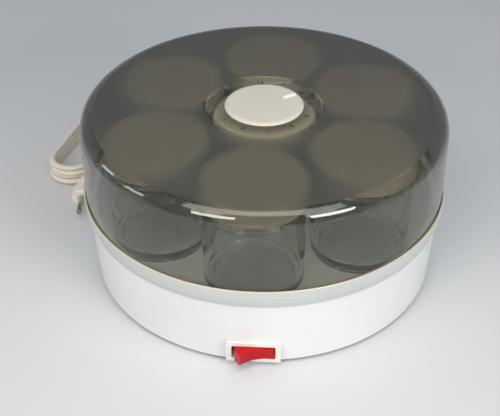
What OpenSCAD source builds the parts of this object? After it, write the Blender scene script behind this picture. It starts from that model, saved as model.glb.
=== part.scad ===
// Yogurt maker with seven glass jars under a smoked lid.
// Millimetres, +Z up. The origin is the middle of the base on the table.

/* [Jars] */
// Outer radius of a glass jar
jar_r = 33.2; // [30:0.1:36]
// Height of a glass jar from its foot to its rim
jar_h = 74.2; // [66:0.1:84]
// Wall thickness of the glass
glass_t = 2.6; // [2:0.1:3.4]
// How far a jar cap stands out past the glass
cap_over = 1.8; // [1.5:0.1:3]
// Depth of a jar cap's skirt
cap_h = 12; // [10:0.5:14]
// Wall thickness of a jar cap
cap_t = 1.3; // [1:0.1:1.6]
// Space between neighbouring jar caps
cap_gap = 8; // [4:0.5:14]
// Turn of the ring of jars about the middle, in degrees
ring_turn = -4.7; // [-10:0.1:10]

/* [Base] */
// Height of the base's rim above the table
base_h = 65.9; // [60:0.1:72]
// Wall thickness of the base housing
base_t = 2.2; // [1.8:0.1:2.8]
// Widening of the housing wall from its foot up to the band
wall_draft = 3.2; // [1:0.1:4]
// Height of the band round the rim
band_h = 14; // [12:0.5:18]
// How far the band stands out from the wall
band_out = 3.4; // [3:0.1:5]
// Wall thickness of the rim above the lid's seat
rim_t = 1.5; // [1.2:0.1:1.8]
// Space between the outer jars and the tray's wall
tray_gap = 4.8; // [3:0.1:8]
// Wall thickness of the jar tray
tray_t = 2; // [1.6:0.1:2.4]
// Depth of the jar tray below its flange
tray_depth = 19.5; // [14:0.5:22]
// Height of the rubber feet below the housing
foot_h = 2; // [1.5:0.1:4]
// Radius of a rubber foot
foot_r = 8; // [6:0.5:11]
// Thickness of the bottom plate
plate_t = 2; // [1.6:0.1:3]

/* [Heater] */
// How far the aluminium heating plate reaches past the element
heat_rim = 17; // [14:0.5:19]
// Thickness of the aluminium heating plate
heat_t = 1.5; // [1:0.1:2.5]
// Outer radius of the heating element
element_r = 78; // [62:0.5:84]
// Thickness of the heating element
element_t = 1.4; // [1:0.1:2]
// Thickness of the insulating felt below the plate
felt_t = 4.4; // [3.5:0.1:6]

/* [Lid] */
// Wall thickness of the smoked lid
lid_t = 2.2; // [1.8:0.1:2.8]
// Radius of the round edge along the lid's top
lid_edge = 11.5; // [8:0.5:18]
// Free height between the jar caps and the lid
headroom = 5.7; // [5:0.1:12]
// Depth to which the lid sits inside the rim
lid_sink = 4.7; // [4:0.1:6]

/* [Dial] */
// Radius of the knob
knob_r = 26.8; // [22:0.1:32]
// Height of the knob above the numbered disc
knob_h = 1.8; // [1.6:0.1:6]
// Radius of the clear numbered disc
scale_r = 38.9; // [36:0.1:46]
// Thickness of the clear numbered disc
scale_t = 1.2; // [1:0.1:1.5]
// Depth of the disc's top below the lid's top
scale_sink = 0.2; // [0.1:0.1:0.8]
// Direction of the knob's pointer, in degrees
pointer_turn = 29; // [0:1:359]

/* [Switch] */
// Width of the switch frame
frame_w = 35.6; // [33.5:0.1:40]
// Height of the switch frame
frame_h = 15.6; // [15:0.1:24]
// Width of the rocker across its root
rocker_w = 26.8; // [24:0.1:27.5]
// Height of the rocker
rocker_h = 9.6; // [8:0.1:10]
// Tilt of the rocker either side of its middle, in degrees
rocker_tilt = 18; // [10:0.5:20]
// Turn of the switch round the base from the front, in degrees
switch_turn = -3; // [-8:0.5:8]

/* [Cord] */
// Width of the flat mains cord
cord_w = 4.8; // [4:0.1:5.4]
// Thickness of the flat mains cord
cord_t = 3.8; // [3:0.1:4.4]
// Direction in which the cord leaves the base, in degrees
cord_turn = 115; // [112:0.5:118]
// Length of the plug's moulded body
plug_l = 36; // [33:0.5:38]
// Width of the plug's face
plug_w = 35.3; // [33:0.1:37]

/* [Hidden] */
$fn = 96;
eps = 0.01;
air = 0.3;                 // gap between pieces that lift or turn apart
run_air = 0.05;            // radial running clearance of a pin in its bore
slip = 0.4;                // gap between shells that slide together
jars = 7;
ring_jars = 6;
hexa = 360 / ring_jars;

// jars and caps
cap_r = jar_r + cap_over;
ring_r = 2 * cap_r + cap_gap;
neck_r = jar_r - 2.2;
bead_r = cap_r - cap_t - slip;
bead_h = 3;
foot_in = 2.4;             // how far the jar's foot stands in from its side
jar_corner = 5;
cap_top_t = 1.4;

// tray and base, worked outwards from the jars
seat_depth = 1;
tray_r = ring_r + jar_r + tray_gap;
tray_flare = 1.5;
floor_t = tray_t + seat_depth;
tray_top_r = tray_r + tray_flare;
wall_gap = 1.3;            // space between the tray's wall and the housing's, under the flange
base_r = tray_top_r + tray_t + wall_gap + base_t - wall_draft;
band_z = base_h - band_h;
band_step = 1;              // small step from the wall out to the band
band_r = base_r + wall_draft + band_out;
rim_in_r = band_r - rim_t;
lid_z = base_h - lid_sink;
flange_t = 2;
ledge_t = 2;
ledge_z = lid_z - air - flange_t;
ledge_in_r = tray_top_r + tray_t + slip;
floor_z = lid_z - air - tray_depth;
under_z = floor_z - floor_t;
jar_z = floor_z - seat_depth + air;
cap_z = jar_z + jar_h + air + cap_top_t;
plate_z = foot_h + 1;
plate_top = plate_z + plate_t;

// fasteners
screw_r = 1.5;
pilot_r = screw_r + 0.05;
head_r = 3;
head_h = 2;
post_r = 4.5;
post_ring = tray_r - post_r - 1;
heat_r = element_r + heat_rim;
post_turn = 45;
foot_ring = base_r - base_t - foot_r - 6;
small_boss_r = 3.2;
boss_ring = element_r + heat_rim / 2 + 1;
retainer_t = 1;
thermostat_r = 8.2;
tab_x = thermostat_r + 2;   // middle of the thermostat's tabs
tab_z = 1.5;
felt_z = under_z - heat_t - felt_t;
retainer_z = felt_z - retainer_t;
centre_hole_r = 24;

// wiring
block_x = -0.5 * element_r - 20;
block_y = 0.4 * element_r;
block_w = 12;
block_l = 36;
block_h = 7;
pole_pitch = block_l / 3;
pole_w = 8;
shelf_h = 3;
vent_ring = 0.6 * base_r;

// lid and dial
lid_r = rim_in_r - slip;
lid_top = cap_z + headroom + lid_t;
lid_h = lid_top - lid_z;
lid_flare = 0.5;
scale_z = lid_top - scale_sink - scale_t;
shelf_t = 1.3;
shelf_in = scale_r - 2.5;
hub_r = 4;
knob_air = 0.2;
clip_t = 0.8;
clip_r = 8;

// switch
frame_t = 1.6;
frame_corner = 1.4;
well_corner = 0.9;
sw_z = foot_h + max(10, 0.4 + frame_h / 2);
pad_y = wall_r(sw_z) + 0.5;
frame_y = pad_y + frame_t;
pivot_in = 3;
pivot_y = frame_y - pivot_in;
pivot_r = 1.2;
well_w = rocker_w + 1.7;
well_h = rocker_h + 0.5;
body_w = well_w + 3;
body_h = well_h + 3.4;
well_d = 13;
body_d = 15;
tip_x = rocker_w / 2 - 1.8;
tip_out = 8.3;
dip = 3.2;

// cord
gland_z = foot_h + 11;
gland_r = wall_r(gland_z);
relief_l = 25;
relief_end = gland_r + relief_l;
relief_tip_r = cord_w / 2 + 0.9;
gland_hole_r = 5;
relief_flange_r = 6.6;
relief_flange_t = 1.8;
boss_in = base_r - 6;
boss_out = gland_r + 0.5;
relief_in = boss_in - relief_flange_t;
clamp_r = base_r - 34;
cord_z = cord_t / 2;
hank_x = -146.1;
hank_y = 128.9;
hank_turn = 74;
hank_half = 33;
hank_bend = 14.4;
hank_layers = 5;
hank_room = 1;
plug_x = -131.5;
plug_y = 55.5;
plug_t = 14;
pin_l = 19;
pin_r = 2;
pin_gap = 19;
sleeve_l = 9;

// The route of the cord's two loose stretches, in round numbers.
lead_points = [[-66, 144, 11], [-70, 153, 7], [-76, 161.5, 4], [-84.5, 168.5, 2.2], [-95, 172.5, 2],
    [-105.5, 172.3, 2], [-114.5, 168.5, 2], [-120.6, 162.8, 2], [-123.9, 155.5, 2]];
tail_points = [[-129.5, 173.8, 16.6], [-120.5, 171.5, 16.2], [-113.5, 166, 14.5], [-109.5, 158, 11],
    [-108.8, 148.5, 7], [-110.5, 138.5, 3.4], [-113.5, 128, 2], [-117.5, 117.5, 2], [-122.3, 108, 2.6],
    [-127.2, 100, 4.6]];

// Outer radius of the housing wall at a height
function wall_r(z) = base_r + wall_draft * (z - foot_h) / (band_z - foot_h);
// Middle of a jar: the first stands in the centre, the rest round it
function jar_at(n) = n == 1 ? [0, 0] :
    ring_r * [cos(hexa * (n - 2) - 30 + ring_turn), sin(hexa * (n - 2) - 30 + ring_turn)];
// Points of an arc in the plane of a revolved profile
function arc(r, z, rad, from, to, steps = 8) =
    [for (i = [0:steps]) let (a = from + (to - from) * i / steps) [r + rad * cos(a), z + rad * sin(a)]];
function unit(v) = v / norm(v);

module ring_of(count, radius, turn = 0) {
    for (i = [0:count - 1])
        rotate(turn + 360 * i / count) translate([radius, 0, 0]) children();
}

module tube(outer, inner, height) {
    difference() {
        cylinder(r = outer, h = height);
        translate([0, 0, -1]) cylinder(r = inner, h = height + 2);
    }
}

// A screw with its head down, its tip pointing up
module screw(length) {
    cylinder(r1 = head_r - 0.6, r2 = head_r, h = 0.6);
    translate([0, 0, 0.6]) cylinder(r = head_r, h = head_h - 0.6);
    cylinder(r = screw_r, h = head_h + length);
}

// A tube swept through points, with a flat oval section
module sweep(points, wide, thick, sides = 10) {
    last = len(points) - 1;
    function heading(i) = unit(points[min(i + 1, last)] - points[max(i - 1, 0)]);
    function level(v) = norm([v.x, v.y]) < 0.02 ? [-1, 0, 0] : unit(cross(v, [0, 0, 1]));
    function across(i) = level(heading(i));
    rings = [for (i = [0:last]) let (a = across(i), b = cross(a, heading(i)))
        for (k = [0:sides - 1])
            points[i] + a * (wide / 2) * cos(360 * k / sides) + b * (thick / 2) * sin(360 * k / sides)];
    walls = [for (i = [0:last - 1]) for (k = [0:sides - 1]) let (n = (k + 1) % sides)
        each [[i * sides + k, i * sides + n, (i + 1) * sides + n],
            [i * sides + k, (i + 1) * sides + n, (i + 1) * sides + k]]];
    start = [[for (k = [0:sides - 1]) sides - 1 - k]];
    end = [[for (k = [0:sides - 1]) last * sides + k]];
    polyhedron(points = rings, faces = concat(walls, start, end), convexity = 6);
}

// Places children in the switch's frame: +X along it, -Y out of the wall
module at_switch() {
    rotate(switch_turn) translate([0, 0, sw_z]) children();
}

// A plate with round corners that faces -Y, its back in the plane y = 0
module face_plate(wide, high, corner, thick) {
    x = wide / 2 - corner;
    z = high / 2 - corner;
    rotate([90, 0, 0]) linear_extrude(height = thick) polygon(concat(arc(x, z, corner, 0, 90, 4),
        arc(-x, z, corner, 90, 180, 4), arc(-x, -z, corner, 180, 270, 4), arc(x, -z, corner, 270, 360, 4)));
}

module base_housing() {
    step_r = base_r + wall_draft;
    lip = rim_t / 2;
    color("whitesmoke") difference() {
        union() {
            rotate_extrude($fn = 180) polygon(concat(
                [[base_r - 1.2, foot_h], [base_r, foot_h + 1.2], [step_r, band_z - band_step],
                [step_r + band_step, band_z], [band_r - 1, band_z + 0.3 * band_h],
                [band_r - 0.35, band_z + 0.6 * band_h], [band_r, base_h - lip]],
                arc(band_r - lip, base_h - lip, lip, 0, 180),
                [[rim_in_r, ledge_z], [ledge_in_r, ledge_z], [ledge_in_r, ledge_z - ledge_t],
                [band_r - 1 - base_t, ledge_z - ledge_t],
                [step_r + band_step - base_t, band_z], [step_r - base_t, band_z - band_step],
                [base_r - base_t, foot_h]]));
            // flat pad under the switch frame
            at_switch() translate([-frame_w / 2 + 1, -pad_y, -frame_h / 2 + 0.5])
                cube([frame_w - 2, pad_y - base_r + base_t, frame_h - 1]);
            // boss round the cord outlet
            rotate([0, 0, cord_turn]) translate([boss_in, 0, gland_z])
                rotate([0, 90, 0]) cylinder(r = 8, h = boss_out - boss_in);
        }
        // window for the switch body
        at_switch() translate([-body_w / 2, -pad_y - 1, -body_h / 2]) cube([body_w, 20, body_h]);
        // hole for the strain relief
        rotate([0, 0, cord_turn]) translate([base_r - 20, 0, gland_z])
            rotate([0, 90, 0]) cylinder(r = gland_hole_r, h = 40);
    }
}

module jar_tray() {
    seat_r = jar_r - foot_in + 1.6;
    color("white") difference() {
        union() {
            rotate_extrude($fn = 180) polygon(concat(
                [[0, under_z], [tray_r - 1, under_z], [tray_r + tray_t, under_z + 3],
                [tray_top_r + tray_t, ledge_z], [rim_in_r - slip, ledge_z],
                [rim_in_r - slip, ledge_z + flange_t], [tray_top_r + 1, ledge_z + flange_t]],
                arc(tray_top_r + 1, ledge_z + flange_t - 1, 1, 90, 180, 4),
                arc(tray_r - 3, floor_z + 3, 3, 0, -90, 6), [[0, floor_z]]));
            ring_of(4, post_ring, post_turn) translate([0, 0, plate_top])
                cylinder(r = post_r, h = under_z - plate_top + 1);
            ring_of(3, boss_ring, 90) translate([0, 0, felt_z])
                cylinder(r = small_boss_r, h = under_z - felt_z + 1);
        }
        for (n = [1:jars]) translate([jar_at(n)[0], jar_at(n)[1], floor_z - seat_depth])
            cylinder(r = seat_r, h = seat_depth + 1);
        ring_of(4, post_ring, post_turn) translate([0, 0, plate_top - 1])
            cylinder(r = pilot_r, h = 14);
        ring_of(3, boss_ring, 90) translate([0, 0, felt_z - 1]) cylinder(r = pilot_r, h = 6);
    }
}

module bottom_plate() {
    plate_r = base_r - base_t - 0.2;
    slot_w = 3;
    slot_l = 16;
    color("gainsboro") difference() {
        union() {
            translate([0, 0, plate_z]) cylinder(r = plate_r, h = plate_t, $fn = 180);
            // stiffening rings under the plate
            for (r = [30, 62]) translate([0, 0, plate_z - 1]) tube(r + 0.8, r - 0.8, 1.5);
            // cups that hold the rubber feet
            ring_of(4, foot_ring) translate([0, 0, plate_z - 1.2]) tube(foot_r + 1.6, foot_r, 1.5);
            // post for the cord clamp
            rotate(cord_turn) translate([clamp_r, 0, plate_top - eps])
                translate([-5, -13, 0]) cube([10, 26, gland_z - 3 - plate_top]);
            // shelf for the terminal block
            translate([block_x - 2, block_y - 2, plate_top - eps]) cube([block_w + 4, block_l + 4, shelf_h]);
        }
        ring_of(4, post_ring, post_turn) translate([0, 0, plate_z - 2]) {
            cylinder(r = screw_r + 0.2, h = 10);
            cylinder(r = head_r + 0.4, h = 2.6);
        }
        rotate(cord_turn) translate([clamp_r, 0, plate_top + 1]) for (s = [-9, 9])
            translate([0, s, 0]) cylinder(r = pilot_r, h = 20);
        for (a = [0:30:330]) rotate(a) translate([vent_ring, -slot_l / 2, plate_z - 2])
            cube([slot_w, slot_l, plate_t + 4]);
    }
}

module feet() {
    color("dimgray") ring_of(4, foot_ring) rotate_extrude() polygon(concat(
        [[0, 0]], arc(foot_r - 1, 0.8, 0.8, -90, 0, 4), [[foot_r - 0.1, plate_z], [0, plate_z]]));
}

module base_screws() {
    color("silver") ring_of(4, post_ring, post_turn) translate([0, 0, plate_z + 0.6 - head_h]) screw(11);
}

module heat_plate() {
    color("silver") translate([0, 0, under_z - heat_t]) difference() {
        cylinder(r = heat_r, h = heat_t, $fn = 144);
        ring_of(3, boss_ring, 90) translate([0, 0, -1]) cylinder(r = small_boss_r + 0.3, h = heat_t + 2);
    }
}

module heater_element() {
    inner = centre_hole_r + 8;
    color("goldenrod") translate([0, 0, under_z - heat_t - element_t]) difference() {
        cylinder(r = element_r, h = element_t, $fn = 144);
        translate([0, 0, -1]) cylinder(r = inner, h = element_t + 2);
        // grooves between the windings
        for (r = [inner + 4:6:element_r - 3]) translate([0, 0, -0.4]) tube(r + 1, r - 1, 0.8);
    }
}

module insulating_felt() {
    color("beige") translate([0, 0, felt_z]) difference() {
        cylinder(r = heat_r - 1, h = felt_t, $fn = 144);
        translate([0, 0, -1]) cylinder(r = centre_hole_r, h = felt_t + 2);
        translate([0, 0, felt_t - element_t]) tube(element_r + 0.5, centre_hole_r + 7.5, element_t + 1);
        ring_of(3, boss_ring, 90) translate([0, 0, -1]) cylinder(r = small_boss_r + 0.3, h = felt_t + 2);
    }
}

module heater_retainer() {
    color("lightgray") translate([0, 0, retainer_z]) difference() {
        union() {
            cylinder(r = heat_r, h = retainer_t, $fn = 144);
            tube(heat_r, heat_r - 1, retainer_t + felt_t);
        }
        translate([0, 0, -1]) cylinder(r = centre_hole_r - 4, h = retainer_t + 2);
        ring_of(3, boss_ring, 90) translate([0, 0, -1]) cylinder(r = screw_r + 0.2, h = retainer_t + 2);
        // lightening holes
        ring_of(6, 50, 30) translate([0, 0, -1]) cylinder(r = 9, h = retainer_t + 2);
    }
}

module retainer_screws() {
    color("silver") ring_of(3, boss_ring, 90) translate([0, 0, retainer_z - head_h]) screw(4.5);
}

module thermostat() {
    height = felt_t + retainer_t;
    color("saddlebrown") translate([0, 0, retainer_z]) {
        cylinder(r = thermostat_r, h = height - 1);
        cylinder(r = thermostat_r - 1, h = height);
        for (s = [-1, 1]) translate([s * tab_x - 2.4, -3.1, tab_z]) cube([4.8, 6.2, 0.8]);
    }
}

module thermostat_strap() {
    strap_l = 2 * centre_hole_r + 4;
    color("silver") translate([-4, -strap_l / 2, retainer_z - 0.8]) cube([8, strap_l, 0.8]);
}

module thermal_fuse() {
    fuse_r = 2;
    color("linen") translate([-6, 14, under_z - heat_t - fuse_r]) rotate([0, 90, 0]) {
        cylinder(r = fuse_r, h = 12);
        translate([0, 0, -5]) cylinder(r = 0.5, h = 22);
    }
}

module terminal_block() {
    pole_top = block_h + 4;
    wire_r = 1.8;
    color("ivory") translate([block_x, block_y, plate_top + shelf_h - eps]) difference() {
        union() {
            cube([block_w, block_l, block_h]);
            for (i = [0:2]) translate([1.5, (i + 0.5) * pole_pitch - pole_w / 2, 0])
                cube([block_w - 3, pole_w, pole_top]);
        }
        for (i = [0:2]) translate([-1, (i + 0.5) * pole_pitch, block_h - 2]) rotate([0, 90, 0])
            cylinder(r = wire_r, h = block_w + 2);
        for (i = [0:2]) translate([block_w / 2, (i + 0.5) * pole_pitch, block_h]) cylinder(r = 1.6, h = 6);
    }
}

module cord_clamp() {
    color("white") rotate(cord_turn) translate([clamp_r, 0, gland_z - 3]) difference() {
        translate([-4, -13, 0]) cube([8, 26, 6.5]);
        // the cord's seat runs through the clamp
        translate([-6, -cord_w / 2 - 0.2, -1]) cube([12, cord_w + 0.4, 1 + 3 + cord_t / 2 + 0.1]);
        for (s = [-9, 9]) translate([0, s, -1]) cylinder(r = screw_r + 0.2, h = 9);
    }
}

module clamp_screws() {
    length = 6.5 + 2;
    color("silver") rotate(cord_turn) translate([clamp_r, 0, gland_z + 3.5 + head_h]) for (s = [-9, 9])
        translate([0, s, 0]) rotate([180, 0, 0]) screw(length);
}

module inner_leads() {
    out = [cos(cord_turn), sin(cord_turn), 0];
    up = [0, 0, gland_z];
    lead_t = 2.2;
    pole_y = block_y + 2.5 * pole_pitch;
    pole_z = plate_top + shelf_h + block_h - 2;
    color("white") sweep([out * relief_in + up, out * (relief_in - 12) + up, out * clamp_r + up,
        out * (clamp_r - 6) + up], cord_w - 0.2, cord_t - 0.2);
    color("brown") sweep([[block_x + block_w, pole_y, pole_z], [block_x + block_w + 6, pole_y, pole_z],
        [block_x + 30, pole_y - 8, pole_z + 4], [block_x + 42, pole_y - 24, pole_z + 6],
        [-tab_x - 2, 12, retainer_z - 8], [-tab_x, 2, retainer_z - 4], [-tab_x, 0, retainer_z],
        [-tab_x, 0, retainer_z + tab_z]],
        lead_t, lead_t, 8);
}

module strain_relief() {
    root_r = 5.2;
    rib_pitch = 3.2;
    color("white") rotate(cord_turn) translate([0, 0, gland_z]) rotate([0, 90, 0]) {
        translate([0, 0, relief_in]) cylinder(r = relief_flange_r, h = relief_flange_t);
        translate([0, 0, boss_in]) cylinder(r = gland_hole_r - run_air, h = boss_out - boss_in);
        translate([0, 0, boss_out]) cylinder(r = relief_flange_r, h = relief_flange_t);
        // tapered sleeve with flexing grooves
        translate([0, 0, gland_r]) rotate_extrude() polygon(concat([[0, 0.5], [root_r, 0.5]],
            [for (i = [0:5]) let (z = 4 + i * rib_pitch, r = root_r - 0.1 - i * 0.36)
                each [[r, z], [r, z + 1.8], [r - 0.9, z + 1.9], [r - 0.9, z + 3.1]]],
            [[relief_tip_r, relief_l], [0, relief_l]]));
    }
}

module cord_lead() {
    out = [cos(cord_turn), sin(cord_turn), 0];
    first = out * relief_end + [0, 0, gland_z];
    color("white") sweep(concat([first, first + out * 3], lead_points), cord_w, cord_t);
}

module cord_hank() {
    height = cord_t * hank_layers;
    radius = hank_bend + cord_w / 2 + hank_room;
    color("white") translate([hank_x, hank_y, 0]) rotate(hank_turn) {
        translate([-hank_half, -radius, 0]) cube([2 * hank_half, 2 * radius, height]);
        for (s = [-1, 1]) translate([s * hank_half, 0, 0]) cylinder(r = radius, h = height);
    }
}

module cord_tail() {
    last = [plug_x, plug_y + plug_l, plug_t / 2];
    color("white") sweep(concat(tail_points, [last + [0, 3, 0], last]), cord_w, cord_t);
}

module plug_body() {
    half = plug_w / 2;
    mid = plug_t / 2;
    flat = half - 4.2;
    tail = 5.5;
    color("white") translate([plug_x, plug_y, 0]) difference() {
        intersection() {
            linear_extrude(height = plug_t) polygon(concat(
                [[-half + 2.5, 0]], arc(half - 2.5, 2.5, 2.5, -90, 0, 5), [[half, 6]],
                [[half - 1.6, 10], [tail + 4.2, 24], [tail + 1.2, 30], [tail, plug_l], [-tail, plug_l],
                [-tail - 1.2, 30], [-tail - 4.2, 24], [-half + 1.6, 10]],
                [[-half, 6]], arc(-half + 2.5, 2.5, 2.5, 180, 270, 5)));
            translate([-half - 1, 0, 0]) rotate([90, 0, 90]) linear_extrude(height = plug_w + 2)
                polygon([[0, 1], [1, 0], [20, 0], [30, 1.5], [plug_l, 3], [plug_l, plug_t - 3],
                [30, plug_t - 1.5], [20, plug_t], [1, plug_t], [0, plug_t - 1]]);
            // six-sided section, widest at half its height
            translate([0, plug_l + 1, 0]) rotate([90, 0, 0]) linear_extrude(height = plug_l + 2)
                polygon([[-half, mid - 1], [-half, mid + 1], [-half + 0.8, mid + 2.4], [-flat, plug_t],
                [flat, plug_t], [half - 0.8, mid + 2.4], [half, mid + 1], [half, mid - 1],
                [half - 0.8, mid - 2.4], [flat, 0], [-flat, 0], [-half + 0.8, mid - 2.4]]);
        }
        // shallow ring sunk round each pin
        for (s = [-1, 1]) translate([s * pin_gap / 2, -1, mid]) rotate([-90, 0, 0])
            cylinder(r = pin_r + 1, h = 1.8);
        for (s = [-1, 1]) translate([s * pin_gap / 2, -1, plug_t / 2]) rotate([-90, 0, 0])
            cylinder(r = pin_r, h = 9);
    }
}

module plug_sleeves() {
    color("silver") for (s = [-1, 1])
        translate([plug_x + s * pin_gap / 2, plug_y + 8, plug_t / 2]) rotate([90, 0, 0])
            tube(pin_r, pin_r - 0.4, sleeve_l + 8);
}

module plug_pins() {
    color("gray") for (s = [-1, 1])
        translate([plug_x + s * pin_gap / 2, plug_y + 8, plug_t / 2]) rotate([90, 0, 0]) {
            cylinder(r = pin_r - 0.4, h = sleeve_l + 8);
            translate([0, 0, sleeve_l + 8]) rotate_extrude() polygon(concat(
                [[0, 0], [pin_r, 0]], arc(pin_r - 1.2, pin_l - sleeve_l - 1.2, 1.2, 0, 90, 5),
                [[0, pin_l - sleeve_l]]));
        }
}

module switch_body() {
    color("ivory") at_switch() difference() {
        union() {
            translate([0, -pad_y, 0]) face_plate(frame_w, frame_h, frame_corner, frame_t);
            translate([-body_w / 2, -frame_y, -body_h / 2]) cube([body_w, body_d, body_h]);
        }
        translate([0, well_d - frame_y, 0]) face_plate(well_w, well_h, well_corner, well_d + 1);
        translate([0, -pivot_y, -body_h / 2 - 1]) cylinder(r = pivot_r, h = body_h + 2, $fn = 48);
    }
}

module switch_terminals() {
    color("goldenrod") at_switch() for (s = [-1, 1])
        translate([s * 8 - 2.4, -frame_y + body_d, -0.4]) cube([4.8, 9, 0.8]);
}

module rocker() {
    root_x = rocker_w / 2;
    bow_r = (tip_x * tip_x + dip * dip) / (2 * dip);
    color("crimson") at_switch() translate([0, -pivot_y, 0]) rotate(rocker_tilt) difference() {
        intersection() {
            translate([0, 0, -rocker_h / 2]) linear_extrude(height = rocker_h) polygon([
                [-tip_x, -tip_out], [tip_x, -tip_out], [root_x, -2], [root_x - 1.2, 1.2], [4, 4.6],
                [-4, 4.6], [-root_x + 1.2, 1.2], [-root_x, -2]]);
            // top and bottom faces lean in towards the tips
            rotate([90, 0, 90]) linear_extrude(height = rocker_w + 2, center = true) polygon([
                [6, -rocker_h / 2], [-2, -rocker_h / 2], [-tip_out - 1, -rocker_h / 2 + 1.1],
                [-tip_out - 1, rocker_h / 2 - 1.1], [-2, rocker_h / 2], [6, rocker_h / 2]]);
        }
        translate([0, -tip_out + dip - bow_r, -rocker_h]) cylinder(r = bow_r, h = 2 * rocker_h, $fn = 160);
        translate([0, 0, -rocker_h]) cylinder(r = pivot_r + run_air, h = 2 * rocker_h, $fn = 48);
    }
}

module rocker_pin() {
    color("silver") at_switch() translate([0, -pivot_y, -body_h / 2]) cylinder(r = pivot_r, h = body_h, $fn = 48);
}

module lid_shell() {
    top_r = lid_r + lid_flare;
    fillet_z = lid_top - lid_edge;
    inner_edge = lid_edge - lid_t;
    well_r = scale_r + 0.3;
    color("slategray", 0.5) rotate_extrude($fn = 180) polygon(concat(
        [[lid_r - lid_t, lid_z], [lid_r - 0.4, lid_z], [lid_r, lid_z + 0.4], [top_r, lid_z + 16]],
        arc(top_r - lid_edge, fillet_z, lid_edge, 0, 90, 12),
        [[well_r + 0.4, lid_top], [well_r, lid_top - 0.4], [well_r, scale_z], [shelf_in, scale_z],
        [shelf_in, scale_z - shelf_t], [well_r + lid_t, scale_z - shelf_t],
        [well_r + lid_t, lid_top - lid_t]],
        arc(top_r - lid_edge, fillet_z, inner_edge, 90, 0, 12),
        [[top_r - lid_t, lid_z + 16]]));
}

module scale_disc() {
    color("white", 0.4) translate([0, 0, scale_z]) difference() {
        cylinder(r = scale_r, h = scale_t, $fn = 144);
        translate([0, 0, -1]) cylinder(r = hub_r + run_air, h = scale_t + 2, $fn = 64);
    }
}

module knob() {
    base_z = scale_z + scale_t + knob_air;
    bevel = 2.6;
    drop = scale_t + 2 * knob_air + clip_t;
    rib_in = 0.55 * knob_r;
    rib_l = 0.35 * knob_r;
    rib_w = 2;
    rib_h = 0.9;
    color("ivory") translate([0, 0, base_z]) {
        rotate_extrude($fn = 144) polygon([[0, 0], [knob_r, 0], [knob_r, knob_h - 1.3],
            [knob_r - 0.5, knob_h - 0.8], [knob_r - 1.6, knob_h - 0.2], [knob_r - bevel, knob_h],
            [0, knob_h]]);
        translate([0, 0, -drop]) cylinder(r = hub_r, h = drop + 1, $fn = 64);
        // pointer rib
        rotate(pointer_turn) translate([rib_in, -rib_w / 2, knob_h - 0.5]) cube([rib_l, rib_w, 0.5 + rib_h]);
    }
}

module knob_clip() {
    color("silver") translate([0, 0, scale_z - knob_air - clip_t]) tube(clip_r, hub_r, clip_t);
}

module jar(n) {
    rim_z = jar_h;
    inner_r = jar_r - glass_t;
    shoulder = jar_h - cap_h - 2;
    shoulder_r = 3;
    foot_t = 1;
    floor_z = 5;
    inner_corner = 6;
    color("lightblue", 0.5) translate([jar_at(n)[0], jar_at(n)[1], jar_z]) rotate_extrude($fn = 96)
        polygon(concat(
            [[0, foot_t], [jar_r - foot_in - 4, foot_t], [jar_r - foot_in - 2.4, 0], [jar_r - foot_in, 0]],
            arc(jar_r - jar_corner, jar_corner + foot_t, jar_corner, -60, 0, 3),
            arc(jar_r - shoulder_r, shoulder - shoulder_r, shoulder_r, 0, 70, 3),
            [[neck_r, shoulder + 2], [neck_r, rim_z - bead_h]],
            arc(bead_r - bead_h / 2, rim_z - bead_h / 2, bead_h / 2, -60, 90, 4),
            arc(neck_r - glass_t + 0.8, rim_z - 0.8, 0.8, 90, 180, 2),
            [[neck_r - glass_t, shoulder + 1], [inner_r, shoulder - 4]],
            arc(inner_r - inner_corner, floor_z + inner_corner, inner_corner, 0, -90, 4),
            [[0, floor_z]]));
}

module cap(n) {
    top = jar_h + air + cap_top_t;
    color("ivory") translate([jar_at(n)[0], jar_at(n)[1], jar_z]) rotate_extrude($fn = 96)
        polygon(concat(
            [[cap_r - cap_t, top - cap_h], [cap_r, top - cap_h], [cap_r, top - cap_h + 1.2],
            [cap_r - 0.4, top - cap_h + 1.6], [cap_r - 0.4, top - 2]],
            arc(cap_r - 1.9, top - 1.5, 1.5, 0, 90, 5),
            [[0, top], [0, top - cap_top_t], [cap_r - cap_t - 0.3, top - cap_top_t]]));
}

base_housing();
jar_tray();
bottom_plate();
feet();
base_screws();
heat_plate();
heater_element();
insulating_felt();
heater_retainer();
retainer_screws();
thermostat();
thermostat_strap();
thermal_fuse();
terminal_block();
cord_clamp();
clamp_screws();
inner_leads();
strain_relief();
cord_lead();
cord_hank();
cord_tail();
plug_body();
plug_sleeves();
plug_pins();
switch_body();
switch_terminals();
rocker();
rocker_pin();
lid_shell();
scale_disc();
knob();
knob_clip();
for (n = [1:jars]) jar(n);
for (n = [1:jars]) cap(n);
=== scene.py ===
import math
import bpy
import bmesh
from mathutils import Matrix, Vector


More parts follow.
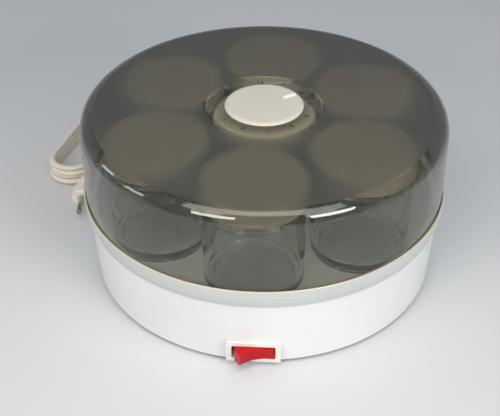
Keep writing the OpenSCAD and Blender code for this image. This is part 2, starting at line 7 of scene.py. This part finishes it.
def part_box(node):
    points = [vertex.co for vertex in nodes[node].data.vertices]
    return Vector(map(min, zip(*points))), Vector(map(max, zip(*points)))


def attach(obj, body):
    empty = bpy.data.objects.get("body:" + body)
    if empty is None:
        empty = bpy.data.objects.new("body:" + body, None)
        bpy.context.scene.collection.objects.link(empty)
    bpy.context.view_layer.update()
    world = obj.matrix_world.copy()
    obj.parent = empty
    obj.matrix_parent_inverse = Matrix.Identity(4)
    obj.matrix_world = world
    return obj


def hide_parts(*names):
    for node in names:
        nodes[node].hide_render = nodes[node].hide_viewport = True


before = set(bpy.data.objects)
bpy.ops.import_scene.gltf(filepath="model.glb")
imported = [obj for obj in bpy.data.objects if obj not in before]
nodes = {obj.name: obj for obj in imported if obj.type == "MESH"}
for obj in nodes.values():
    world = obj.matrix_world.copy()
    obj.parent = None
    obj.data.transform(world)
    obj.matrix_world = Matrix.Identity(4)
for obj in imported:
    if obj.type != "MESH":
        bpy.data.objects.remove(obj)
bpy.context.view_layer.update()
mm = 0.001
tau = 2 * math.pi
print("frame loaded:", len(nodes), "nodes")


def srgb(code):
    # linear colour of an sRGB hex code
    channels = [int(code[i:i + 2], 16) / 255 for i in (0, 2, 4)]
    return (*[c / 12.92 if c <= 0.04045 else ((c + 0.055) / 1.055) ** 2.4 for c in channels], 1)


# Camera, at the height of someone standing over a table

camera = {"place": (-0.000815, -0.668567, 0.525639),
          "pitch": 36.068, "yaw": -0.777, "roll": -0.236, "lens": 82.8, "sensor": 36}


def placeCamera():
    data = bpy.data.cameras.new("camera")
    data.lens = camera["lens"]
    data.sensor_width = camera["sensor"]
    data.sensor_fit = "HORIZONTAL"
    pitch, yaw, roll = (math.radians(camera[turn]) for turn in ("pitch", "yaw", "roll"))
    forward = Vector((math.sin(yaw) * math.cos(pitch), math.cos(yaw) * math.cos(pitch),
                      -math.sin(pitch)))
    level = Vector((math.cos(yaw), -math.sin(yaw), 0))
    upright = level.cross(forward)
    right = level * math.cos(roll) + upright * math.sin(roll)
    upward = upright * math.cos(roll) - level * math.sin(roll)
    holder = bpy.data.objects.new("camera", data)
    axes = Matrix((right, upward, -forward)).transposed().to_4x4()
    holder.matrix_world = Matrix.Translation(camera["place"]) @ axes
    bpy.context.scene.collection.objects.link(holder)
    bpy.context.scene.camera = holder


placeCamera()
print("camera placed")


# Ways to build a material

def addNode(material, kind, settings=None, links=None):
    # settings are socket values, links are sockets fed by another node's output
    node = material.node_tree.nodes.new(kind)
    for socket, value in (settings or {}).items():
        node.inputs[socket].default_value = value
    for socket, source in (links or {}).items():
        material.node_tree.links.new(source, node.inputs[socket])
    return node


def startMaterial(name, settings):
    material = bpy.data.materials.new(name)
    material.use_nodes = True
    shader = material.node_tree.nodes["Principled BSDF"]
    for socket, value in settings.items():
        shader.inputs[socket].default_value = value
    return material, shader


def patches(material, across, detail=3, stretch=(1, 1, 1), low=0.3, high=0.7):
    # noise from 0 to 1 whose patches are about that far across on the piece itself
    place = addNode(material, "ShaderNodeTexCoord").outputs["Object"]
    turned = addNode(material, "ShaderNodeMapping", {"Scale": stretch}, {"Vector": place})
    noise = addNode(material, "ShaderNodeTexNoise", {"Scale": 1 / across, "Detail": detail},
                    {"Vector": turned.outputs["Vector"]})
    spread = addNode(material, "ShaderNodeMapRange", {"From Min": low, "From Max": high},
                     {"Value": noise.outputs["Fac"]})
    return spread.outputs["Result"]


def varyColour(material, shader, tones, across):
    tone = addNode(material, "ShaderNodeMixRGB", {"Color1": srgb(tones[0]), "Color2": srgb(tones[1])},
                   {"Fac": patches(material, across)})
    material.node_tree.links.new(tone.outputs["Color"], shader.inputs["Base Color"])


def varyGloss(material, shader, roughness, across):
    spread = addNode(material, "ShaderNodeMapRange", {"To Min": roughness[0], "To Max": roughness[1]},
                     {"Value": patches(material, across, detail=2, low=0.15, high=0.85)})
    material.node_tree.links.new(spread.outputs["Result"], shader.inputs["Roughness"])


def raiseGrain(material, shader, height, depth, strength):
    bump = addNode(material, "ShaderNodeBump", {"Strength": strength, "Distance": depth},
                   {"Height": height})
    material.node_tree.links.new(bump.outputs["Normal"], shader.inputs["Normal"])


def mouldedPlastic(finish):
    # opaque thermoplastic off a steel mould: an even colour, a soft shine and the mould's fine grain
    material, shader = startMaterial(finish["name"], {
        "IOR": finish.get("ior", 1.53), "Coat Weight": finish.get("coat", 0), "Coat Roughness": 0.08,
        "Subsurface Weight": finish.get("soft", 0), "Subsurface Scale": 2 * mm})
    varyColour(material, shader, finish["tones"], finish.get("drift", 50 * mm))
    varyGloss(material, shader, finish["roughness"], across=20 * mm)
    grain = patches(material, finish["grain"], detail=2, low=0, high=1)
    raiseGrain(material, shader, grain, finish["depth"], strength=0.25)
    return material


def clearPlastic(finish):
    # clear or smoked sheet: rays bend through it, and lamps reach what stands behind it
    material, shader = startMaterial(finish["name"], {
        "Base Color": srgb(finish["tint"]), "Transmission Weight": 1, "IOR": finish["ior"]})
    varyGloss(material, shader, finish["roughness"], across=30 * mm)
    if "ripple" in finish:
        ripple = patches(material, finish["ripple"], detail=2)
        raiseGrain(material, shader, ripple, finish["depth"], strength=0.5)
    lit = addNode(material, "ShaderNodeBsdfTransparent", {"Color": srgb(finish["shade"])})
    ray = addNode(material, "ShaderNodeLightPath")
    both = addNode(material, "ShaderNodeMixShader", None, {
        0: ray.outputs["Is Shadow Ray"], 1: shader.outputs["BSDF"], 2: lit.outputs["BSDF"]})
    surface = material.node_tree.nodes["Material Output"].inputs["Surface"]
    material.node_tree.links.new(both.outputs["Shader"], surface)
    return material


def rolledMetal(finish):
    # bare or plated metal, with fine streaks along the way it was rolled or turned
    material, shader = startMaterial(finish["name"], {"Metallic": 1})
    varyColour(material, shader, finish["tones"], finish.get("drift", 10 * mm))
    varyGloss(material, shader, finish["roughness"], across=finish["streak"])
    streaks = patches(material, finish["streak"], stretch=(1, 6, 1))
    raiseGrain(material, shader, streaks, 0.02 * mm, strength=0.3)
    return material


def pressedFelt(finish):
    # matted fibres: no shine but a soft glow at the edges, and a lumpy surface
    material, shader = startMaterial(finish["name"], {"Roughness": 0.95, "Sheen Weight": 0.4})
    varyColour(material, shader, finish["tones"], across=4 * mm)
    fibres = patches(material, finish["fibre"], detail=6)
    raiseGrain(material, shader, fibres, 0.4 * mm, strength=0.6)
    return material


def dress(material, *names):
    for name in names:
        nodes[name].data.materials.clear()
        nodes[name].data.materials.append(material)


# Mains cord: flat white PVC two-core lead, folded in a hank on the table, with a tail to its plug

cord = {"wide": 4.8 * mm, "thick": 3.8 * mm, "waist": 0.09, "groove": 0.3, "step": 1.6 * mm,
        "sides": 16, "exit": 115, "gland": 13 * mm, "relief": 25 * mm, "straight": 3 * mm}
baseWall = {"foot": 119.8 * mm, "draft": 3.2 * mm, "height": 49.9 * mm, "cord": 11 * mm}
cordPvc = {"name": "extruded_white_pvc", "tones": ("E4DACD", "EFE7DA"), "roughness": (0.42, 0.55),
           "soft": 0.1, "grain": 2 * mm, "depth": 0.04 * mm}   # grain coarser than the real skin's
leadPoints = [(-66, 144, 11), (-70, 153, 7), (-76, 161.5, 4), (-84.5, 168.5, 2.2), (-95, 172.5, 2),
              (-105.5, 172.3, 2), (-114.5, 168.5, 2), (-120.6, 162.8, 2)]
tailPoints = [(-129.5, 173.8, 16.6), (-120.5, 171.5, 16.2), (-113.5, 166, 14.5), (-109.5, 158, 11),
              (-108.8, 148.5, 7), (-110.5, 138.5, 3.4), (-113.5, 128, 2), (-117.5, 117.5, 2),
              (-122.3, 108, 2.6), (-127.2, 100, 4.6)]
plugEnd = (-131.5, 91.5, 7)
hank = {"centre": (-146.1, 128.9), "turn": 74, "bend": 15.4, "pitch": 3.75, "floor": 2,
        "halves": [33, 27.5, 31.5, 29],     # half the straight run of each turn, from the floor up
        "skews": [0, -2.5, 1.5, -1],        # how far each turn lies askew, in degrees
        "steps": 32,                        # points to a turn
        "open": 0.13}                       # share of the last turn that isn't laid, where the tail leaves


def roundTheOval(half, bend, share):
    # a point on a long oval, share of the way round from the end of its near run
    run, fold = 2 * half, math.pi * bend
    way = share * 2 * (run + fold)
    if way < run:
        return half - way, -bend
    if way < run + fold:
        angle = (way - run) / bend
        return -half - bend * math.sin(angle), -bend * math.cos(angle)
    if way < 2 * run + fold:
        return way - run - fold - half, bend
    angle = (way - 2 * run - fold) / bend
    return half + bend * math.sin(angle), bend * math.cos(angle)


def hankPoints():
    # long ovals that climb one on the other, each a little askew
    points = []
    halves, skews, steps = hank["halves"], hank["skews"], hank["steps"]
    for i in range(int((len(halves) - hank["open"]) * steps) + 1):
        turns = i / steps
        low = min(int(turns), len(halves) - 1)
        high = min(low + 1, len(halves) - 1)
        ease = turns - low
        half = halves[low] * (1 - ease) + halves[high] * ease
        angle = math.radians(hank["turn"] + skews[low] * (1 - ease) + skews[high] * ease)
        along, across = roundTheOval(half, hank["bend"], turns % 1)
        points.append((hank["centre"][0] + along * math.cos(angle) - across * math.sin(angle),
                       hank["centre"][1] + along * math.sin(angle) + across * math.cos(angle),
                       hank["floor"] + hank["pitch"] * turns))
    return points


def smoothRoute(points, step, cuts=12):
    # a smooth curve through the points, cut finely and then sampled at about an even spacing
    ends = [2 * points[0] - points[1]] + points + [2 * points[-1] - points[-2]]
    dense = []
    for a, b, c, d in zip(ends, ends[1:], ends[2:], ends[3:]):
        for k in range(cuts):
            t = k / cuts
            dense.append(0.5 * (2 * b + (c - a) * t + (2 * a - 5 * b + 4 * c - d) * t * t
                                + (3 * b - a - 3 * c + d) * t ** 3))
    dense.append(points[-1])
    route = [dense[0]]
    travelled = 0
    for a, b in zip(dense, dense[1:]):
        travelled += (b - a).length
        if travelled >= step:
            route.append(b)
            travelled = 0
    route.append(points[-1])
    return route


def cordRoute():
    out = Vector((math.cos(math.radians(cord["exit"])), math.sin(math.radians(cord["exit"])), 0))
    wall = baseWall["foot"] + baseWall["draft"] * baseWall["cord"] / baseWall["height"]
    start = out * (wall + cord["relief"]) + Vector((0, 0, cord["gland"]))
    end = Vector(plugEnd) * mm
    middle = [Vector(point) * mm for point in leadPoints + hankPoints() + tailPoints]
    straight = cord["straight"]
    return smoothRoute([start, start + out * straight] + middle + [end + Vector((0, straight, 0)), end],
                       cord["step"])


def standAcross(route, i):
    # where the cord's section stands at a point of its route, flat side down
    heading = (route[min(i + 1, len(route) - 1)] - route[max(i - 1, 0)]).normalized()
    across = heading.cross(Vector((0, 0, 1))).normalized()
    turn = Matrix((across, across.cross(heading), heading)).transposed().to_4x4()
    return Matrix.Translation(route[i]) @ turn


def makeCord():
    route = cordRoute()
    shape = bmesh.new()
    bmesh.ops.create_circle(shape, cap_ends=True, radius=1, segments=cord["sides"])
    for vert in shape.verts:
        # two cores side by side leave a shallow waist along the flat faces
        vert.co.y *= 1 - cord["waist"] * math.exp(-(vert.co.x / cord["groove"]) ** 2)
    bmesh.ops.scale(shape, vec=(cord["wide"] / 2, cord["thick"] / 2, 1), verts=shape.verts)
    stand = standAcross(route, 0)
    bmesh.ops.transform(shape, matrix=stand, verts=shape.verts)
    edges = [edge for edge in shape.edges if edge.is_boundary]
    for i in range(1, len(route)):
        grown = bmesh.ops.extrude_edge_only(shape, edges=edges)["geom"]
        edges = [item for item in grown if isinstance(item, bmesh.types.BMEdge) and item.is_boundary]
        following = standAcross(route, i)
        moved = [item for item in grown if isinstance(item, bmesh.types.BMVert)]
        bmesh.ops.transform(shape, matrix=following @ stand.inverted(), verts=moved)
        stand = following
    bmesh.ops.edgeloop_fill(shape, edges=edges)
    bmesh.ops.recalc_face_normals(shape, faces=shape.faces)
    piece = addPiece("mains_cord", shape, mouldedPlastic(cordPvc))
    for face in piece.data.polygons:
        face.use_smooth = len(face.vertices) == 4
    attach(piece, "base")
    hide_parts("cord_lead", "cord_hank", "cord_tail")


def addPiece(name, shape, material):
    mesh = bpy.data.meshes.new(name)
    shape.to_mesh(mesh)
    shape.free()
    mesh.materials.append(material)
    piece = bpy.data.objects.new(name, mesh)
    bpy.context.scene.collection.objects.link(piece)
    return piece


makeCord()


# Base: white ABS housing, tray and bottom

housing = {"band": 51.9 * mm, "lip": 64.9 * mm}   # heights where the band and its lip begin
housingAbs = {"name": "moulded_white_abs", "tones": ("E9EAE9", "F0F0EE"), "roughness": (0.25, 0.38),
              "grain": 3 * mm, "depth": 0.02 * mm, "coat": 0.25}
bandShadedAbs = {"name": "matt_shaded_white_abs", "tones": ("CBCECB", "D1D4D1"), "roughness": (0.45, 0.55),
           "grain": 3 * mm, "depth": 0.02 * mm}   # the band's mould was left matt; its greyer colour is painted shade, for the shade on its downward-facing slope
lipAbs = {"name": "cream_lip_abs", "tones": ("CBC6AE", "D3CFBA"), "roughness": (0.25, 0.38),
          "grain": 3 * mm, "depth": 0.02 * mm, "coat": 0.25}   # the thin lip is coloured a darker cream than the wall
trayPp = {"name": "moulded_white_pp", "tones": ("E2E2DE", "E8E8E4"), "roughness": (0.35, 0.5),
          "grain": 2 * mm, "depth": 0.02 * mm, "ior": 1.49}
bottomPp = {"name": "moulded_grey_pp", "tones": ("C6C6C2", "D0D0CC"), "roughness": (0.5, 0.65),
            "grain": 2 * mm, "depth": 0.06 * mm, "ior": 1.49}
footRubber = {"name": "moulded_black_rubber", "tones": ("2A2A2B", "343435"), "roughness": (0.6, 0.8),
              "grain": 1.5 * mm, "depth": 0.05 * mm, "ior": 1.52, "drift": 10 * mm}


def markFaces(name, index, chosen):
    # gives the chosen faces of a node one of its other materials
    for face in nodes[name].data.polygons:
        if chosen(face.normal, face.center, math.hypot(face.center.x, face.center.y)):
            face.material_index = index


def dressBase():
    dress(mouldedPlastic(housingAbs), "base_housing")
    nodes["base_housing"].data.materials.append(mouldedPlastic(bandShadedAbs))
    nodes["base_housing"].data.materials.append(mouldedPlastic(lipAbs))
    # the faces above the band's height take the greyer tone of painted shade
    markFaces("base_housing", 1, lambda normal, place, out: place.z > housing["band"])
    markFaces("base_housing", 2, lambda normal, place, out: place.z > housing["lip"])
    dress(mouldedPlastic(trayPp), "jar_tray")
    dress(mouldedPlastic(bottomPp), "bottom_plate")
    dress(mouldedPlastic(footRubber), "feet")
    print("base dressed")


dressBase()


# Lid: smoked polystyrene with a polished outside and a finely textured underside to its top,
# and the clear disc of the dial bonded flush into it

lid = {"wall": 2.2 * mm, "well": 39.2 * mm, "shelf": 36.4 * mm, "shelfLow": 121.8 * mm,
       "near": 0.3 * mm, "skin": 0.5 * mm, "down": -0.9, "up": 0.99, "level": 0.1}
lidPolished = {"name": "moulded_smoked_ps", "tint": "ADACA6", "shade": "CECDC8", "ior": 1.55,
               "roughness": (0.01, 0.04), "ripple": 18 * mm, "depth": 0.05 * mm}
lidScuffed = {"name": "scuffed_smoked_ps", "tint": "ADACA6", "shade": "CECDC8", "ior": 1.55,
              "roughness": (0.1, 0.2)}   # wiped and stacked on, so the flat top's shine is broken
lidTextured = {"name": "textured_smoked_ps", "tint": "A09F99", "shade": "B7B6B1", "ior": 1.55,
               "roughness": (0.5, 0.53)}
discPs = {"name": "moulded_clear_ps", "tint": "C6C5BD", "shade": "DBDAD4", "ior": 1.55,
          "roughness": (0.01, 0.04)}
bondedEdge = {"name": "solvent_bonded_ps", "clear": "FFFFFF"}   # light crosses the weld unchanged


def dressLid():
    dress(clearPlastic(lidPolished), "lid_shell")
    dress(clearPlastic(discPs), "scale_disc")
    bonded = startMaterial(bondedEdge["name"], {})[0]
    weld = addNode(bonded, "ShaderNodeBsdfTransparent", {"Color": srgb(bondedEdge["clear"])})
    surface = bonded.node_tree.nodes["Material Output"].inputs["Surface"]
    bonded.node_tree.links.new(weld.outputs["BSDF"], surface)
    nodes["lid_shell"].data.materials.append(clearPlastic(lidTextured))
    nodes["lid_shell"].data.materials.append(bonded)
    nodes["lid_shell"].data.materials.append(clearPlastic(lidScuffed))
    nodes["scale_disc"].data.materials.append(bonded)
    step = lid["well"] + lid["wall"]
    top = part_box("lid_shell")[1].z
    near = lid["near"]
    markFaces("lid_shell", 1, lambda normal, place, out:
              normal.z < lid["down"] and abs(place.z - top + lid["wall"]) < near and out > lid["well"])
    markFaces("lid_shell", 2, lambda normal, place, out:
              lid["shelf"] - near < out < step + near
              and lid["shelfLow"] - near < place.z < top - lid["skin"])
    markFaces("lid_shell", 3, lambda normal, place, out:
              normal.z > lid["up"] and place.z > top - near)
    markFaces("scale_disc", 1, lambda normal, place, out:
              abs(normal.z) < lid["level"] and out > lid["shelf"])
    print("lid dressed")


dressLid()


# Dial: cream knob, and black hours printed on the disc for it to point at

knobAbs = {"name": "moulded_cream_abs", "tones": ("D3CCBF", "D9D3C7"), "roughness": (0.34, 0.44),
           "grain": 2 * mm, "depth": 0.02 * mm, "coat": 0.15}
pointerHighlight = {"name": "painted_highlight_white", "tones": ("F4F3EC", "FAF9F4"), "roughness": (0.3, 0.4),
              "grain": 2 * mm, "depth": 0.02 * mm}   # a painted highlight: whiter than the knob, for the light the rib's front face catches
pointerRise = 0.85 * mm   # the pointer is a rib, coloured as a painted highlight from its top down this far
hours = {"count": 12, "reach": 31.2 * mm, "size": 5 * mm, "bold": 0.14 * mm, "film": 0.02 * mm,
         "turn": 5, "ink": ("20201A", "2A2A22"), "roughness": 0.6}


def printHours():
    ink, shader = startMaterial("printed_black_ink", {"Roughness": hours["roughness"], "IOR": 1.5})
    varyColour(ink, shader, hours["ink"], 2 * mm)   # thin ink, a little uneven
    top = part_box("scale_disc")[1].z
    for hour in range(1, hours["count"] + 1):
        lettering = bpy.data.curves.new("hour", "FONT")
        lettering.body = str(hour)
        lettering.size = hours["size"]
        lettering.align_x = "CENTER"
        lettering.align_y = "CENTER"
        lettering.offset = hours["bold"]
        lettering.extrude = hours["film"]
        written = bpy.data.objects.new("hour", lettering)
        bpy.context.scene.collection.objects.link(written)
        bpy.context.view_layer.update()
        depsgraph = bpy.context.evaluated_depsgraph_get()
        mesh = bpy.data.meshes.new_from_object(written.evaluated_get(depsgraph))
        bpy.data.objects.remove(written)
        angle = math.radians(90 + hours["turn"]) - tau * hour / hours["count"]
        spot = (hours["reach"] * math.cos(angle), hours["reach"] * math.sin(angle),
                top + hours["film"])
        mesh.transform(Matrix.Translation(spot) @ Matrix.Rotation(angle - tau / 4, 4, "Z"))
        mesh.materials.clear()
        mesh.materials.append(ink)
        numeral = bpy.data.objects.new("hour_%d" % hour, mesh)
        bpy.context.scene.collection.objects.link(numeral)
        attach(numeral, "lid")
    print("hours printed:", hours["count"])


def dressKnob():
    dress(mouldedPlastic(knobAbs), "knob")
    nodes["knob"].data.materials.append(mouldedPlastic(pointerHighlight))
    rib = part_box("knob")[1].z - pointerRise
    # the rib's faces take the near-white painted highlight
    markFaces("knob", 1, lambda normal, place, out: place.z > rib)
    print("knob dressed")


dressKnob()
printHours()


# Jars: pressed soda glass with cream polythene caps

jars = 7
jarGlass = {"name": "pressed_clear_glass", "tint": "F7FAF9", "shade": "F2F5F4", "ior": 1.5,
            "roughness": (0, 0.03)}   # thick pressed walls show as dark edges and bright rims
capPe = {"name": "moulded_cream_pe", "tones": ("C4BDAA", "CDC7B5"), "roughness": (0.4, 0.55),
         "soft": 0.1, "grain": 2 * mm, "depth": 0.03 * mm, "ior": 1.5}   # waxy, with a dull soft shine


def dressJars():
    glass = clearPlastic(jarGlass)
    cream = mouldedPlastic(capPe)
    for number in range(1, jars + 1):
        dress(glass, "jar_%d" % number)
        dress(cream, "cap_%d" % number)
    print("jars dressed")


dressJars()


# Switch: red rocker in a white frame

rockerPc = {"name": "moulded_red_pc", "tones": ("B0000C", "C40414"), "roughness": (0.22, 0.3),
            "grain": 2 * mm, "depth": 0.02 * mm, "drift": 12 * mm,
            "ior": 1.36}   # below polycarbonate's 1.58, which keeps the white shine off the deep red
switchAbs = {"name": "moulded_switch_abs", "tones": ("ECEBE4", "F2F1EB"), "roughness": (0.25, 0.35),
             "grain": 2 * mm, "depth": 0.02 * mm, "coat": 0.3}
brightNickel = {"name": "plated_nickel", "tones": ("BDB9AE", "D6D2C8"), "roughness": (0.12, 0.24),
                "streak": 2 * mm}


def dressSwitch():
    dress(mouldedPlastic(rockerPc), "rocker")
    dress(mouldedPlastic(switchAbs), "switch_body")
    dress(rolledMetal(brightNickel), "switch_terminals")
    print("switch dressed")


dressSwitch()


# Plug and what carries the cord: soft white PVC, grey sleeves and nickel-plated pins

plugPvc = {"name": "moulded_white_pvc", "tones": ("F0E7DA", "F7F1E6"), "roughness": (0.38, 0.5),
           "soft": 0.1, "grain": 2 * mm, "depth": 0.04 * mm}
sleeveNylon = {"name": "moulded_grey_nylon", "tones": ("9D9A85", "A9A690"), "roughness": (0.3, 0.45),
               "grain": 2 * mm, "depth": 0.02 * mm}
pinNickel = {"name": "worn_nickel", "tones": ("9C9484", "C4BDAE"), "roughness": (0.16, 0.3),
             "streak": 2 * mm, "drift": 4 * mm}


def dressPlug():
    dress(mouldedPlastic(plugPvc), "plug_body", "strain_relief", "cord_clamp", "inner_leads")
    dress(mouldedPlastic(sleeveNylon), "plug_sleeves")
    dress(rolledMetal(pinNickel), "plug_pins")
    print("plug dressed")


dressPlug()


# Works inside the base: heater, felt, thermostat, terminals and fixings

zincSteel = {"name": "zinc_plated_steel", "tones": ("AFAEA9", "C6C5C0"), "roughness": (0.3, 0.42),
             "streak": 2 * mm}
heatSheet = {"name": "rolled_aluminium", "tones": ("C9CACB", "D6D7D8"), "roughness": (0.28, 0.4),
             "streak": 2 * mm}
heaterFoil = {"name": "etched_brass_foil", "tones": ("B98F4A", "CDA55E"), "roughness": (0.35, 0.47),
              "streak": 2 * mm}
feltWool = {"name": "pressed_felt", "tones": ("CFC6AE", "DDD5C0"), "fibre": 0.9 * mm}
caseBakelite = {"name": "moulded_brown_bakelite", "tones": ("3A2418", "4A2E1F"),
                "roughness": (0.35, 0.5), "grain": 2 * mm, "depth": 0.02 * mm, "ior": 1.6}
blockNylon = {"name": "moulded_natural_nylon", "tones": ("E4E1D4", "EBE8DD"), "roughness": (0.45, 0.6),
              "grain": 2 * mm, "depth": 0.02 * mm}


def dressWorks():
    dress(rolledMetal(zincSteel), "base_screws", "retainer_screws", "clamp_screws", "rocker_pin",
          "knob_clip", "thermostat_strap")
    dress(rolledMetal(heatSheet), "heat_plate", "heater_retainer")
    dress(rolledMetal(heaterFoil), "heater_element")
    dress(pressedFelt(feltWool), "insulating_felt")
    dress(mouldedPlastic(caseBakelite), "thermostat")
    dress(mouldedPlastic(blockNylon), "thermal_fuse", "terminal_block")
    print("works dressed")


dressWorks()


# Table, softboxes and the room's soft light

table = {"half": 12, "colour": "D8DADC", "roughness": 0.8}
room = {"colour": "E2E9F2", "strength": 0.34}
aimHeight = 70 * mm   # all the softboxes face the middle of the appliance
softboxes = {   # azimuth from +X and elevation in degrees, distance and size in metres, watts, colour
    "front_left": (-119, 32, 1.4, (0.53, 0.22), 4.0, "FFF6EA"),
    "front_right": (-52, 27, 1.4, (0.62, 0.22), 6.2, "FFFFFF"),
    "side_left": (-178, 21, 1.4, (0.8, 0.14), 2.0, "E6EEFA"),
    "overhead": (-90, 62, 0.75, (0.9, 0.4), 3.0, "FFFDF8")}


def layTable():
    shape = bmesh.new()
    bmesh.ops.create_grid(shape, x_segments=1, y_segments=1, size=table["half"])
    # matt paper: takes soft shadows and shines nowhere
    paper = startMaterial("pale_paper", {"Roughness": table["roughness"],
                                         "Base Color": srgb(table["colour"])})[0]
    addPiece("table", shape, paper)


def hangSoftbox(name, azimuth, elevation, distance, size, watts, colour):
    data = bpy.data.lights.new(name, "AREA")
    data.shape = "RECTANGLE"
    data.size, data.size_y = size
    data.energy = watts
    data.color = srgb(colour)[:3]
    around, height = math.radians(azimuth), math.radians(elevation)
    place = distance * Vector((math.cos(around) * math.cos(height), math.sin(around) * math.cos(height),
                               math.sin(height)))
    aim = (Vector((0, 0, aimHeight)) - place).to_track_quat("-Z", "Y").to_matrix().to_4x4()
    box = bpy.data.objects.new(name, data)
    box.matrix_world = Matrix.Translation(place) @ aim
    bpy.context.scene.collection.objects.link(box)


def lightRoom():
    world = bpy.data.worlds.new("room")
    world.use_nodes = True
    sky = world.node_tree.nodes["Background"]
    sky.inputs["Color"].default_value = srgb(room["colour"])
    sky.inputs["Strength"].default_value = room["strength"]
    bpy.context.scene.world = world
    for name, settings in softboxes.items():
        hangSoftbox(name, *settings)
    bpy.context.scene.view_settings.view_transform = "Standard"


layTable()
lightRoom()
print("table laid and softboxes hung:", len(softboxes))
